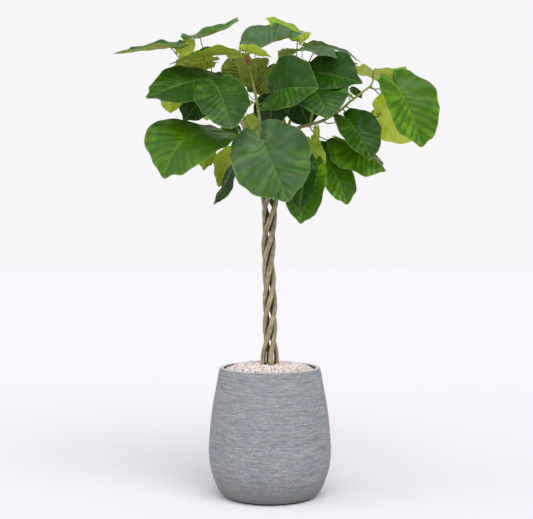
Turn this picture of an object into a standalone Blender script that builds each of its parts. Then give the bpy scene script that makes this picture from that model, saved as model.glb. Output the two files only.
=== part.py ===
"""Potted umbrella fig: four stems braided into one trunk, a round crown of heart-shaped
leaves on long stalks, and a tapered grey planter topped with white pebbles.

Metres, +Z up. The origin is the centre of the planter's foot, where it stands on the
floor. The plant's front looks along -Y. Positions in the rows are in millimetres.
"""

import math

import bmesh
import bpy
import numpy as np

MM = 0.001
GAP = 0.3 * MM

# Planter: a belly of 434 mm tapering to a 357 mm mouth, on a small recessed foot.
POT_HEIGHT = 0.4535
POT_WALL = 0.015
POT_FLOOR = 0.022
POT_SEGMENTS = 40
FOOT_RADIUS = 0.158
FOOT_HEIGHT = 0.005
# radius and height of the outside, bottom to top
POT_OUTSIDE = (
    (0.1670, 0.006), (0.1804, 0.021), (0.1935, 0.046), (0.2031, 0.073), (0.2110, 0.100),
    (0.2159, 0.134), (0.2167, 0.177), (0.2138, 0.223), (0.2088, 0.276), (0.2013, 0.330),
    (0.1935, 0.372), (0.1839, 0.426), (0.1785, 0.4505),
)
# the inside follows every other one of them
POT_INSIDE_LEVELS = POT_OUTSIDE[2::2]

# Soil and the layer of pebbles that hides it
SOIL_TOP = 0.428
PEBBLE_CENTRE = 0.4625
PEBBLE_EDGE = 0.4380
PEBBLE_BUMP = 0.0015

# Trunk: four strands in one even braid
STRAND_RADIUS = 8.75
BRAID_RADIUS = 15.8
BRAID_START = 507.0
BRAID_TURN = 0.9449
BRAID_TOP = 1060.0
STRAND_FOOT = 365.0
STEM_SIDES = 8
STEM_STEP = 36.0

# Each strand: its angle at the foot of the braid (0 in front, 90 to the right), then the
# points of the branch that it becomes above the braid, then the radius of its tip.
STEMS = {
    "stem_rear": (10, [
        (10, 50, 1130), (30, 80, 1215), (60, 105, 1300), (90, 120, 1390), (110, 120, 1475),
        (125, 120, 1545)], 3.0),
    "stem_left": (100, [
        (-30, -5, 1095), (-40, -15, 1160), (-65, -25, 1230), (-90, -30, 1300),
        (-125, -30, 1365), (-160, -25, 1415), (-200, -20, 1465), (-230, -20, 1515),
        (-240, -20, 1540)], 3.2),
    "stem_middle": (190, [
        (-5, -20, 1115), (-15, -10, 1190), (-30, 5, 1280), (-40, 10, 1360), (-55, 5, 1440),
        (-70, 0, 1505), (-75, -5, 1525)], 3.8),
    "stem_right": (280, [
        (35, -10, 1080), (45, -10, 1145), (50, -10, 1210), (65, -5, 1265), (95, 0, 1300),
        (140, 0, 1315), (190, -10, 1330), (250, -20, 1365), (285, -25, 1395),
        (325, -30, 1425), (355, -30, 1450), (365, -35, 1470)], 3.2),
}

# Side twigs: the stem that each grows from, its points and its two end radii
TWIGS = {
    "twig_left": ("stem_left", [
        (-50, -20, 1180), (-80, -45, 1210), (-110, -65, 1225), (-130, -80, 1230)], 5.0, 3.2),
    "twig_right": ("stem_right", [(140, 0, 1315), (155, 5, 1370), (165, 0, 1415)], 4.5, 3.0),
    "twig_rear_left": ("stem_rear", [
        (15, 60, 1160), (-30, 140, 1240), (-80, 210, 1325), (-120, 250, 1405)], 5.5, 3.2),
    "twig_rear_right": ("stem_rear", [(50, 95, 1270), (110, 180, 1325), (165, 240, 1400)], 5.0, 3.0),
}

# Leaves, one row each: name, the stem or twig and the height on it where the stalk starts,
# the point where the stalk meets the blade, the blade's tip, the azimuth and elevation that
# its upper side faces, width over length, fold of the two halves in degrees, arch of the
# midrib, fullness (0 pointed, 1 round) and age.
LEAVES = (
    ("leaf_left_01", "stem_left", 1465, (-345, -80, 1575), (-540, -120, 1545), 0, 74, 0.88, 12, 0, -0.6, "old"),
    ("leaf_left_02", "stem_left", 1540, (-245, -30, 1620), (-120, 110, 1720), 0, 86, 0.75, 10, -0.05, 0.1, "mid"),
    ("leaf_left_03", "stem_left", 1540, (-315, -15, 1570), (-265, -35, 1610), 180, 12, 0.7, 12, 0.04, 0.7, "young"),
    ("leaf_left_04", "stem_middle", 1510, (-150, -105, 1545), (-345, -155, 1500), 0, 80, 0.85, 12, 0.05, 0.2, "mid"),
    ("leaf_left_05", "stem_left", 1485, (-230, 65, 1550), (-370, 35, 1490), 180, 72, 0.8, 5, 0.08, 0, "mid"),
    ("leaf_left_06", "stem_left", 1415, (-210, -150, 1455), (-415, -210, 1380), 0, 58, 0.95, 0, 0.05, 0.6, "old"),
    ("leaf_left_07", "stem_left", 1440, (-340, -110, 1430), (-345, -90, 1345), 180, 5, 0.75, 5, 0.05, 1, "young"),
    ("leaf_left_08", "stem_left", 1400, (-230, 10, 1415), (-305, -20, 1325), 0, 40, 1, 5, 0.05, 0.3, "old"),
    ("leaf_left_09", "twig_left", 1225, (-210, -150, 1275), (-355, -220, 1110), -30, 32, 1.15, 5, 0.22, 1, "mid"),
    ("leaf_left_10", "stem_left", 1250, (-175, -275, 1410), (-120, -370, 1260), 0, 30, 0.74, 5, 0.08, 1.3, "old"),
    ("leaf_left_11", "twig_left", 1230, (-215, -80, 1240), (-230, -90, 1145), 180, 0, 0.6, 8, 0.05, 0.2, "mid"),
    ("leaf_left_12", "twig_left", 1230, (-140, -50, 1195), (-180, -100, 1090), 232, 5, 0.75, 5, 0.05, 0.8, "young"),
    ("leaf_left_13", "twig_left", 1225, (-125, -90, 1160), (-195, -120, 1025), 78, 5, 0.5, 8, 0.03, 0.3, "old"),
    ("leaf_front_01", "stem_right", 1145, (-25, -240, 1235), (60, -260, 1030), 5, 12, 1.02, 8, 0.06, 0.7, "old"),
    ("leaf_front_02", "stem_middle", 1385, (15, -120, 1415), (160, -230, 1410), -28, 22, 1, 20, 0.1, 1.1, "old"),
    ("leaf_front_03", "stem_right", 1280, (140, -120, 1145), (105, -130, 960), -20, 0, 0.62, 8, 0.05, 0.9, "mid"),
    ("leaf_front_04", "stem_right", 1300, (150, -60, 1235), (165, -80, 1115), 140, 5, 0.55, 10, 0.05, 0.8, "mid"),
    ("leaf_front_05", "stem_right", 1305, (195, -10, 1205), (275, -20, 1030), 30, 5, 0.6, 5, 0.06, 1.2, "mid"),
    ("leaf_front_06", "stem_right", 1315, (165, -20, 1300), (165, -20, 1245), 180, 0, 0.4, 20, 0.05, 0.5, "young"),
    ("leaf_front_07", "stem_middle", 1345, (10, 60, 1410), (0, 20, 1305), 0, 30, 1, 5, 0.05, 0.5, "old"),
    ("leaf_front_08", "twig_right", 1380, (105, 100, 1415), (140, 80, 1315), 0, 30, 1, 5, 0.05, 0.5, "old"),
    ("leaf_front_09", "stem_middle", 1455, (-15, 150, 1540), (-80, 120, 1450), 180, 20, 1, 8, 0.05, 0.5, "old"),
    ("leaf_front_10", "stem_middle", 1405, (-105, 80, 1485), (-140, 110, 1600), 180, 30, 0.95, 8, 0.05, 0.5, "old"),
    ("leaf_front_11", "stem_right", 1240, (125, -160, 1155), (100, -170, 995), -12, 5, 0.46, 8, 0.05, 0.5, "old"),
    ("leaf_top_01", "stem_middle", 1475, (-50, -40, 1580), (120, 0, 1640), 0, 62, 1.08, 20, 0.03, -0.1, "old"),
    ("leaf_top_02", "stem_rear", 1520, (100, 80, 1665), (-15, 50, 1705), 0, 52, 0.9, -10, 0.02, 0.6, "young"),
    ("leaf_top_03", "stem_rear", 1495, (85, -30, 1570), (230, -120, 1530), 0, 75, 0.9, 8, 0.08, 0.2, "old"),
    ("leaf_top_04", "stem_rear", 1545, (175, 80, 1610), (330, 40, 1540), 0, 86, 0.9, 5, 0.08, 0.2, "old"),
    ("leaf_top_05", "stem_rear", 1535, (110, 35, 1620), (150, 65, 1655), 180, 45, 0.48, 5, 0.05, 0.5, "young"),
    ("leaf_top_06", "stem_middle", 1505, (-80, -150, 1555), (5, -170, 1525), 180, 60, 0.5, 8, 0.05, 0.3, "young"),
    ("leaf_top_07", "stem_rear", 1475, (55, 60, 1585), (55, 40, 1535), 180, 20, 0.8, 8, 0.05, 0.5, "mid"),
    ("leaf_right_01", "twig_right", 1415, (160, -60, 1490), (320, -110, 1445), 10, 25, 0.9, 18, 0.06, 0.1, "old"),
    ("leaf_right_02", "twig_right", 1370, (145, -110, 1430), (195, -210, 1310), 8, 42, 1.1, 8, 0.1, 0.6, "old"),
    ("leaf_right_03", "stem_right", 1445, (445, -90, 1435), (525, -110, 1225), 20, 12, 0.78, 18, 0.08, 1.1, "mid"),
    ("leaf_right_04", "stem_right", 1330, (275, -60, 1325), (350, -120, 1180), 12, 22, 0.74, 20, 0.1, 0.9, "old"),
    ("leaf_right_05", "stem_right", 1315, (265, -20, 1255), (405, -60, 1145), 36, 40, 0.95, -24, 0.05, 0.7, "mid"),
    ("leaf_right_06", "stem_right", 1470, (370, -20, 1505), (430, 170, 1475), 150, 60, 0.85, 12, 0.05, 0.5, "young"),
    ("leaf_right_07", "stem_right", 1380, (395, -10, 1355), (485, 50, 1430), 180, 20, 0.7, 10, 0.05, 0.5, "young"),
    ("leaf_right_08", "stem_right", 1370, (405, 60, 1340), (575, 90, 1295), 180, 20, 0.75, 5, 0.1, 0.5, "young"),
    ("leaf_right_09", "stem_right", 1405, (280, -50, 1410), (230, -75, 1420), 0, 50, 0.8, 10, 0.05, 0.3, "young"),
    ("leaf_right_10", "stem_right", 1395, (295, 0, 1440), (330, 10, 1410), 0, 30, 0.6, 10, 0.05, 0.3, "old"),
    ("leaf_back_01", "twig_rear_left", 1365, (-130, 300, 1450), (-190, 440, 1400), 190, 40, 0.95, 6, 0.12, 0.6, "old"),
    ("leaf_back_02", "twig_rear_left", 1315, (-30, 300, 1375), (-5, 390, 1250), 175, 35, 0.95, 6, 0.12, 0.6, "old"),
    ("leaf_back_03", "twig_rear_right", 1380, (160, 280, 1440), (205, 430, 1415), 170, 50, 0.95, 6, 0.12, 0.6, "old"),
    ("leaf_back_04", "twig_rear_right", 1315, (85, 270, 1295), (45, 360, 1180), 185, 20, 0.95, 6, 0.12, 0.6, "mid"),
    ("leaf_back_05", "stem_rear", 1450, (115, 190, 1510), (90, 360, 1490), 180, 55, 0.95, 6, 0.12, 0.6, "mid"),
    ("leaf_back_06", "stem_rear", 1385, (45, 220, 1510), (-15, 340, 1465), 200, 50, 0.95, 6, 0.12, 0.6, "old"),
    ("leaf_back_07", "stem_left", 1450, (-240, 110, 1475), (-345, 270, 1480), 225, 50, 0.95, 6, 0.12, 0.6, "old"),
    ("leaf_back_08", "stem_left", 1330, (-155, 130, 1385), (-240, 290, 1365), 215, 40, 0.95, 6, 0.12, 0.6, "mid"),
    ("leaf_back_09", "stem_left", 1250, (-175, 60, 1290), (-290, 200, 1245), 235, 30, 0.95, 6, 0.12, 0.6, "old"),
    ("leaf_back_10", "twig_right", 1405, (215, 130, 1545), (260, 290, 1530), 160, 55, 0.95, 6, 0.12, 0.6, "old"),
    ("leaf_back_11", "stem_right", 1450, (480, 140, 1435), (540, 265, 1370), 130, 30, 0.95, 6, 0.12, 0.6, "mid"),
)
BLADE_THICKNESS = 1.0
STALK_RADIUS = 2.2
STALK_GAP = 0.5
SMALL_LEAF = 125.0
# angles of the blade's spokes, from the tip to the notch at the stalk
SPOKES_LARGE = (0, 10, 30, 56, 84, 112, 138, 161, 180)
SPOKES_SMALL = (0, 14, 48, 88, 126, 156, 180)

# Bud at the middle stem's tip: distance along it and radius
BUD = ((0.3, 3.8), (8, 6.2), (20, 7.4), (34, 5.4), (46, 2.4), (54, 0.6))

# sRGB colours out of 255, then roughness
LOOKS = {
    "planter": ((150, 151, 156), 0.62),
    "soil": ((62, 48, 38), 0.95),
    "pebbles": ((224, 212, 210), 0.55),
    "bark": ((140, 127, 105), 0.80),
    "bud": ((122, 78, 50), 0.60),
    "old": ((70, 108, 42), 0.45),
    "mid": ((92, 128, 42), 0.45),
    "young": ((126, 150, 44), 0.50),
}


def linear(channel):
    """One sRGB channel out of 255 as linear light."""
    c = channel / 255
    return c / 12.92 if c <= 0.04045 else ((c + 0.055) / 1.055) ** 2.4


def paint(obj, look):
    colour, roughness = LOOKS[look]
    material = bpy.data.materials.new(f"{obj.name}_{look}")
    material.use_nodes = True
    shader = material.node_tree.nodes["Principled BSDF"]
    shader.inputs["Base Color"].default_value = (*map(linear, colour), 1.0)
    shader.inputs["Roughness"].default_value = roughness
    shader.inputs["Metallic"].default_value = 0.0
    obj.data.materials.append(material)


def add_object(name, mesh, look, origin=(0.0, 0.0, 0.0), sharp=50.0):
    mesh.shade_smooth()
    mesh.set_sharp_from_angle(angle=math.radians(sharp))
    obj = bpy.data.objects.new(name, mesh)
    obj.location = origin
    bpy.context.scene.collection.objects.link(obj)
    paint(obj, look)
    return obj


def mesh_of(name, points, faces):
    mesh = bpy.data.meshes.new(name)
    mesh.from_pydata([tuple(p) for p in points], [], faces)
    mesh.validate()
    return mesh


def turned_mesh(name, profile, segments, wave=None):
    """A profile of (radius, height) pairs, whose ends lie on the axis, turned round Z.

    It runs from the bottom centre out and up to the top centre. wave(x, y, i) may add to
    the height of the profile's point i.
    """
    angles = np.arange(segments) * 2 * math.pi / segments
    points = [(0.0, 0.0, profile[0][1])]
    for i, (radius, height) in enumerate(profile[1:-1], 1):
        for angle in angles:
            x, y = radius * math.cos(angle), radius * math.sin(angle)
            points.append((x, y, height + (wave(x, y, i) if wave else 0.0)))
    points.append((0.0, 0.0, profile[-1][1]))
    rings = len(profile) - 2
    last = len(points) - 1
    faces = []
    for k in range(segments):
        n = (k + 1) % segments
        faces.append((0, 1 + n, 1 + k))
        for ring in range(rings - 1):
            low, high = 1 + ring * segments, 1 + (ring + 1) * segments
            faces.append((low + k, low + n, high + n, high + k))
        top = 1 + (rings - 1) * segments
        faces.append((top + k, top + n, last))
    return mesh_of(name, points, faces)


def unit(v):
    return v / np.linalg.norm(v)


def smooth_step(value, low, high):
    t = min(1.0, max(0.0, (value - low) / (high - low)))
    return t * t * (3 - 2 * t)


def spline(points, step):
    """A Catmull-Rom curve through the points, with a point about every step."""
    p = np.asarray(points, float)
    p = np.vstack([2 * p[0] - p[1], p, 2 * p[-1] - p[-2]])
    out = []
    for a, b, c, d in zip(p[:-3], p[1:-2], p[2:-1], p[3:]):
        count = max(1, round(np.linalg.norm(c - b) / step))
        for t in np.arange(count) / count:
            out.append(0.5 * (2 * b + (c - a) * t + (2 * a - 5 * b + 4 * c - d) * t**2
                              + (3 * b - a - 3 * c + d) * t**3))
    out.append(p[-2])
    return np.array(out)


def tangents(path):
    steps = np.gradient(path, axis=0)
    return steps / np.linalg.norm(steps, axis=1, keepdims=True)


def rings_along(path, radii, sides, first_side, first_tangent=None, last_tangent=None):
    """Round sections along a path, each turned as little as possible from the one before."""
    along = tangents(path)
    if first_tangent is not None:
        along[0] = first_tangent
    if last_tangent is not None:
        along[-1] = last_tangent
    side = unit(first_side - (first_side @ along[0]) * along[0])
    rings = []
    for point, tangent, radius in zip(path, along, radii):
        side = unit(side - (side @ tangent) * tangent)
        other = np.cross(tangent, side)
        turn = np.arange(sides) * 2 * math.pi / sides
        rings.append(point + radius * (np.outer(np.cos(turn), side) + np.outer(np.sin(turn), other)))
    return rings


def tube_mesh(name, path, radii, sides, **ends):
    """A solid round rod along a path, with flat ends."""
    rings = rings_along(path, radii, sides, np.array([0.3, 1.0, 0.1]), **ends)
    faces = [tuple(range(sides))[::-1]]
    for ring in range(len(rings) - 1):
        low, high = ring * sides, (ring + 1) * sides
        for k in range(sides):
            n = (k + 1) % sides
            faces.append((low + k, low + n, high + n, high + k))
    faces.append(tuple(low + sides + k for k in range(sides)))
    return mesh_of(name, np.vstack(rings) * MM, faces)


def boolean(obj, tool, operation):
    """Cut or join with a tool that is itself left out of the plant."""
    tool.hide_render = True
    tool.display_type = "WIRE"
    modifier = obj.modifiers.new(tool.name, "BOOLEAN")
    modifier.operation = operation
    modifier.solver = "EXACT"
    modifier.object = tool


def make_planter():
    """Turned pot: solid foot, swelling wall, rounded lip, plain inside."""
    mouth = POT_OUTSIDE[-1][0]
    lip = [(mouth - 0.002, POT_HEIGHT), (mouth - POT_WALL + 0.002, POT_HEIGHT)]
    inside = [(r - POT_WALL, z) for r, z in reversed(POT_INSIDE_LEVELS)]
    floor = [(0.172, POT_FLOOR), (0.0, POT_FLOOR)]
    foot = [(0.0, 0.0), (FOOT_RADIUS, 0.0), (FOOT_RADIUS, FOOT_HEIGHT)]
    profile = foot + list(POT_OUTSIDE) + lip + inside + floor
    add_object("planter", turned_mesh("planter", profile, POT_SEGMENTS), "planter", sharp=40.0)


def inner_radius(height):
    radii, heights = zip(*POT_INSIDE_LEVELS)
    return float(np.interp(height, heights, radii)) - POT_WALL


def make_soil():
    """Soil filling the planter, with a socket for each strand of the trunk."""
    low = [(0.0, POT_FLOOR + GAP), (0.172 - 2 * GAP, POT_FLOOR + GAP)]
    levels = [z for _, z in POT_INSIDE_LEVELS if z < SOIL_TOP]
    wall = [(inner_radius(z) - 2 * GAP, z) for z in levels]
    top = [(inner_radius(SOIL_TOP) - 2 * GAP, SOIL_TOP), (0.0, SOIL_TOP)]
    soil = add_object("soil", turned_mesh("soil", low + wall + top, POT_SEGMENTS), "soil")
    cut_sockets(soil, STRAND_FOOT * MM - GAP, SOIL_TOP + 0.05)


def make_pebble_layer():
    """Low mound of pebbles on the soil, its top gently lumpy, open round each strand."""
    base = SOIL_TOP + GAP
    edge = inner_radius(PEBBLE_EDGE) - 2 * GAP
    low = [(0.0, base), (inner_radius(base) - 2 * GAP, base), (edge, PEBBLE_EDGE)]
    crown = [(edge * f, PEBBLE_EDGE + (PEBBLE_CENTRE - PEBBLE_EDGE) * (1 - f * f))
             for f in (0.9, 0.76, 0.62, 0.46)]
    profile = low + crown + [(0.0, PEBBLE_CENTRE)]

    def lumps(x, y, i):
        if i < 3:
            return 0.0
        return PEBBLE_BUMP * math.sin(x / 0.006 + 1.3) * math.cos(y / 0.0065 + 0.4)

    mesh = turned_mesh("pebble_layer", profile, POT_SEGMENTS, lumps)
    layer = add_object("pebble_layer", mesh, "pebbles")
    cut_sockets(layer, base - 0.02, PEBBLE_CENTRE + 0.05)


def braid_point(start_angle, height):
    """Centre of a strand: straight in the soil, then winding unevenly round a swaying axis."""
    wander = smooth_step(height, 500, 620)
    turned = start_angle + BRAID_TURN * max(0.0, height - BRAID_START)
    turned += 6 * wander * math.sin(height / 71 + 1.7 * start_angle)
    spread = 8 * (1 - smooth_step(height, 480, 575)) + 10 * smooth_step(height, 960, BRAID_TOP)
    radius = BRAID_RADIUS + spread - 1.6 * wander * math.sin(height / 47 + 2.3 * start_angle)
    angle = math.radians(turned)
    sway = -6 * math.exp(-((height - 855) / 90) ** 2)
    return np.array([radius * math.sin(angle) + sway, -radius * math.cos(angle), height])


def cut_sockets(obj, low, high):
    """Room for the four strands, a gap wider than each all round."""
    for name, (angle, _, _) in STEMS.items():
        x, y, _ = braid_point(angle, STRAND_FOOT) * MM
        mesh = bpy.data.meshes.new(f"socket_{obj.name}_{name}")
        shape = bmesh.new()
        bmesh.ops.create_cone(
            shape, cap_ends=True, segments=12, radius1=STRAND_RADIUS * MM * 1.035 + GAP,
            radius2=STRAND_RADIUS * MM * 1.035 + GAP, depth=high - low)
        shape.to_mesh(mesh)
        shape.free()
        tool = bpy.data.objects.new(mesh.name, mesh)
        tool.location = (x, y, (low + high) / 2)
        bpy.context.scene.collection.objects.link(tool)
        boolean(obj, tool, "DIFFERENCE")


def stem_path(name):
    angle, branch, _ = STEMS[name]
    heights = np.linspace(STRAND_FOOT, BRAID_TOP, 22)
    braid = [braid_point(angle, z) for z in heights]
    upper = spline([braid[-2], braid[-1]] + branch, STEM_STEP)
    return np.vstack([braid[:-2], upper])


def stem_radii(name, path):
    """Even in the braid, then thinner with the length of the branch."""
    tip = STEMS[name][2]
    lengths = np.concatenate([[0], np.cumsum(np.linalg.norm(np.diff(path, axis=0), axis=1))])
    start = np.interp(BRAID_TOP, path[:, 2], lengths)
    share = np.clip((lengths - start) / (lengths[-1] - start), 0, 1)
    return STRAND_RADIUS + (tip - STRAND_RADIUS) * share


def wood():
    """The centre line and radii of every stem and twig, by name."""
    lines = {}
    for name in STEMS:
        path = stem_path(name)
        lines[name] = (path, stem_radii(name, path))
    for name, (_, points, thick, thin) in TWIGS.items():
        path = spline(points, STEM_STEP)
        lines[name] = (path, np.linspace(thick, thin, len(path)))
    return lines


def make_stems(lines):
    """A strand, the branch above it and its twigs are one grown piece."""
    for name in STEMS:
        path, radii = lines[name]
        stem = add_object(name, tube_mesh(name, path, radii, STEM_SIDES), "bark")
        for twig, (parent, _, _, _) in TWIGS.items():
            if parent != name:
                continue
            twig_path, twig_radii = lines[twig]
            mesh = tube_mesh(twig, twig_path, twig_radii, 6)
            tool = bpy.data.objects.new(twig, mesh)
            bpy.context.scene.collection.objects.link(tool)
            boolean(stem, tool, "UNION")


def make_bud(lines):
    """Slim brown sheath of the next leaf, straight on the middle stem's tip."""
    path, _ = lines["stem_middle"]
    direction = unit(path[-1] - path[-2])
    along = np.array([distance for distance, _ in BUD])
    line = path[-1] + np.outer(along, direction)
    mesh = tube_mesh("bud_sheath", line, [r for _, r in BUD], 8)
    add_object("bud_sheath", mesh, "bud")


def heart(theta, full):
    """Distance from stalk to margin, as a share of the length, at an angle off the midrib.

    A circle pushed towards the tip, with a short drip tip and a notch at the stalk.
    """
    a = abs(theta)
    mean, push, pinch = 0.54 + 0.045 * full, 0.27 + 0.045 * full, 0.05
    tip = 1 - mean - push - pinch
    notch = 0.27 * math.exp(-((math.pi - a) / 0.22) ** 2)
    return (mean + push * math.cos(a) + pinch * math.cos(2 * a)
            + tip * math.exp(-(a / 0.12) ** 2) - notch)


def facing_vector(azimuth, elevation):
    az, el = math.radians(azimuth), math.radians(elevation)
    return np.array([math.sin(az) * math.cos(el), -math.cos(az) * math.cos(el), math.sin(el)])


def blade_axes(base, tip, facing):
    size = np.linalg.norm(tip - base)
    along = (tip - base) / size
    face = facing_vector(*facing)
    normal = unit(face - (face @ along) * along)
    return size, along, np.cross(normal, along), normal


def node_on(line, height):
    """The point, direction and radius of a stem or twig at a height."""
    path, radii = line
    heights = path[:, 2]
    point = np.array([np.interp(height, heights, path[:, k]) for k in range(3)])
    direction = unit(np.array([np.interp(height, heights, t) for t in tangents(path).T]))
    return point, direction, float(np.interp(height, heights, radii))


def stalk_path(line, height, base, arrive, steps):
    """From the blade back to the wood: a bow that ends square against the stem's side."""
    node, direction, radius = node_on(line, height)
    towards = base - node
    out = unit(towards - (towards @ direction) * direction)
    root = node + out * (radius + STALK_GAP)
    length = np.linalg.norm(base - root)
    near_stem = root + out * length * 0.3
    near_blade = base - arrive * length * 0.3
    t = np.linspace(0, 1, steps + 1)[:, None]
    path = ((1 - t) ** 3 * base + 3 * (1 - t) ** 2 * t * near_blade
            + 3 * (1 - t) * t**2 * near_stem + t**3 * root)
    return path, -out


def make_leaf(row, lines):
    """Blade and stalk as one closed skin: the stalk runs into the blade's underside."""
    (name, wood_name, height, base, tip, azimuth, elevation,
     width, fold, droop, full, age) = row
    base, tip = np.array(base, float), np.array(tip, float)
    size, along, side, normal = blade_axes(base, tip, (azimuth, elevation))
    small = size < SMALL_LEAF
    half = SPOKES_SMALL if small else SPOKES_LARGE
    spokes = np.radians(list(half) + [-a for a in reversed(half[1:-1])])
    count, sides = len(spokes), len(spokes) // 2
    bend = math.radians(fold)

    def on_blade(r, theta, lift):
        x, y = r * math.cos(theta), r * math.sin(theta) * width
        rise = 4 * droop * x * (1 - x) + math.sin(bend) * abs(y)
        return base + size * (x * along + y * math.cos(bend) * side + rise * normal) + lift * normal

    shares = (1.0,) if small else (0.55, 1.0)
    thick = BLADE_THICKNESS / 2
    points, faces = [on_blade(0, 0, thick)], []
    for lift in (thick, -thick):
        for share in shares:
            points += [on_blade(heart(t, full) * share, t, lift) for t in spokes]

    def ring(level, under):
        return 1 + (level + (len(shares) if under else 0)) * count

    outer = len(shares) - 1
    for k in range(count):
        n = (k + 1) % count
        faces.append((0, ring(0, False) + k, ring(0, False) + n))
        for level in range(outer):
            a, b = ring(level, False), ring(level + 1, False)
            faces.append((a + k, b + k, b + n, a + n))
            a, b = ring(level, True), ring(level + 1, True)
            faces.append((a + k, a + n, b + n, b + k))
        a, b = ring(outer, False), ring(outer, True)
        faces.append((a + k, b + k, b + n, a + n))

    radius = STALK_RADIUS * (0.65 if small else 1.0)
    arrive = unit(0.85 * normal + 0.5 * along)
    steps = 4
    path, inward = stalk_path(lines[wood_name], height, base - thick * normal, arrive, steps)
    radii = np.linspace(0.75, 1.1, len(path)) * radius
    anticlockwise = [0] + list(range(sides - 1, 0, -1))
    rings = [r[anticlockwise]
             for r in rings_along(path, radii, sides, along, last_tangent=inward)]
    turn = np.arange(sides) * 2 * math.pi / sides
    rings[0] = path[0] + 1.2 * radius * (
        np.outer(np.cos(turn), along) + np.outer(np.sin(turn), side))
    first = len(points)
    points += [p for r in rings for p in r]
    under = ring(0, True)
    for k in range(sides):
        n = (k + 1) % sides
        here, after = under + 2 * k, under + (2 * k + 2) % count
        faces.append((first + k, first + n, here + 1))
        faces.append((first + k, here + 1, here))
        faces.append((first + n, after, here + 1))
        for j in range(len(rings) - 1):
            a, b = first + j * sides, first + (j + 1) * sides
            faces.append((a + k, b + k, b + n, a + n))
    end = first + (len(rings) - 1) * sides
    faces.append(tuple(end + k for k in reversed(range(sides))))

    root = path[-1]
    mesh = mesh_of(name, (np.array(points) - root) * MM, faces)
    return add_object(name, mesh, age, origin=tuple(root * MM), sharp=60.0)


def main():
    for old in list(bpy.data.objects):
        bpy.data.objects.remove(old)
    make_planter()
    make_soil()
    make_pebble_layer()
    lines = wood()
    make_stems(lines)
    make_bud(lines)
    for row in LEAVES:
        make_leaf(row, lines)


main()
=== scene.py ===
import math

import bpy
import numpy as np
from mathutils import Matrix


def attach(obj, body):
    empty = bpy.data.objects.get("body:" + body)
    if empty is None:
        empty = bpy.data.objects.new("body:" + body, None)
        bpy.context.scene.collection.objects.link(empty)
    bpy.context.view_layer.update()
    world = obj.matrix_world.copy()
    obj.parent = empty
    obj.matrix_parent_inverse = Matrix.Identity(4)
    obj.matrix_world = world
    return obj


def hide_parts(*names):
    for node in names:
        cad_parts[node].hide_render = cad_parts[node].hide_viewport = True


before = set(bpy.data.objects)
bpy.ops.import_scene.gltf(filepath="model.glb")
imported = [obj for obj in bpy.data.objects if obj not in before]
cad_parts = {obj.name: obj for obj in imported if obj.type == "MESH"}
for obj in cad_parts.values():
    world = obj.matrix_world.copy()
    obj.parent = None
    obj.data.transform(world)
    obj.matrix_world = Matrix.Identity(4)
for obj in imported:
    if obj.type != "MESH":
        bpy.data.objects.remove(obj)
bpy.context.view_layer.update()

# Planter. A heavy pot of cast fibre clay, thrown in one piece with a swelling belly, a
# rounded lip and a small foot set back under it. Its matt grey wash was dragged on with a
# wide brush, round and round, so it shows long level streaks and cream flecks.

# radius and height of the outside in metres, foot to lip
POT_OUTSIDE = np.array([
    (0.1670, 0.0060), (0.1804, 0.021), (0.1935, 0.046), (0.2031, 0.073), (0.2110, 0.100),
    (0.2159, 0.134), (0.2167, 0.177), (0.2138, 0.223), (0.2088, 0.276), (0.2013, 0.330),
    (0.1935, 0.372), (0.1839, 0.426), (0.1785, 0.450)])
POT_FOOT = np.array([(0.0, 0.0), (0.080, 0.0), (0.156, 0.0), (0.158, 0.0015), (0.158, 0.0050)])
POT_HEIGHT = 0.4535
POT_WALL = 0.015
POT_FLOOR = 0.022
POT_AROUND = 192


def linear_rgb(code):
    """An sRGB colour written in hex, as linear red, green, blue and a full alpha."""
    shown = np.array([int(code[k:k + 2], 16) for k in (1, 3, 5)]) / 255
    light = np.where(shown <= 0.04045, shown / 12.92, ((shown + 0.055) / 1.055) ** 2.4)
    return (*light.tolist(), 1.0)


def add_node(tree, kind, inputs=None, out=None, **options):
    """A shader node of a kind such as TexNoise, with options set and inputs set or linked.

    Returns its output named out, or else the first one in use.
    """
    node = tree.nodes.new("ShaderNode" + kind)
    for name, value in options.items():
        setattr(node, name, value)
    for name, value in (inputs or {}).items():
        if isinstance(value, bpy.types.NodeSocket):
            tree.links.new(value, node.inputs[name])
        else:
            node.inputs[name].default_value = value
    return node.outputs[out] if out else next(socket for socket in node.outputs if socket.enabled)


def new_material(name, **sockets):
    """A Principled material and its tree and shader, with the shader's own sockets set."""
    material = bpy.data.materials.new(name)
    material.use_nodes = True
    shader = material.node_tree.nodes["Principled BSDF"]
    for socket, value in sockets.items():
        shader.inputs[socket.replace("_", " ")].default_value = value
    return material, material.node_tree, shader


def curve_through(points, step):
    """A Catmull-Rom curve through the points, resampled to even steps of its own length.

    Between b and c, with a and d their neighbours and t from 0 to 1, it is half of
    2b + (c - a)t + (2a - 5b + 4c - d)t^2 + (3b - a - 3c + d)t^3.
    """
    p = np.asarray(points, float)
    p = np.vstack([2 * p[0] - p[1], p, 2 * p[-1] - p[-2]])
    a, b, c, d = (p[k:len(p) - 3 + k, None, :] for k in range(4))
    t = np.linspace(0, 1, 24, endpoint=False)[None, :, None]
    fine = 0.5 * (2 * b + (c - a) * t + (2 * a - 5 * b + 4 * c - d) * t**2
                  + (3 * b - a - 3 * c + d) * t**3)
    fine = np.vstack([fine.reshape(-1, p.shape[1]), p[-2]])
    length = np.concatenate([[0], np.cumsum(np.linalg.norm(np.diff(fine, axis=0), axis=1))])
    even = np.linspace(0, length[-1], max(2, round(length[-1] / step) + 1))
    return np.stack([np.interp(even, length, column) for column in fine.T], axis=1)


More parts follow.
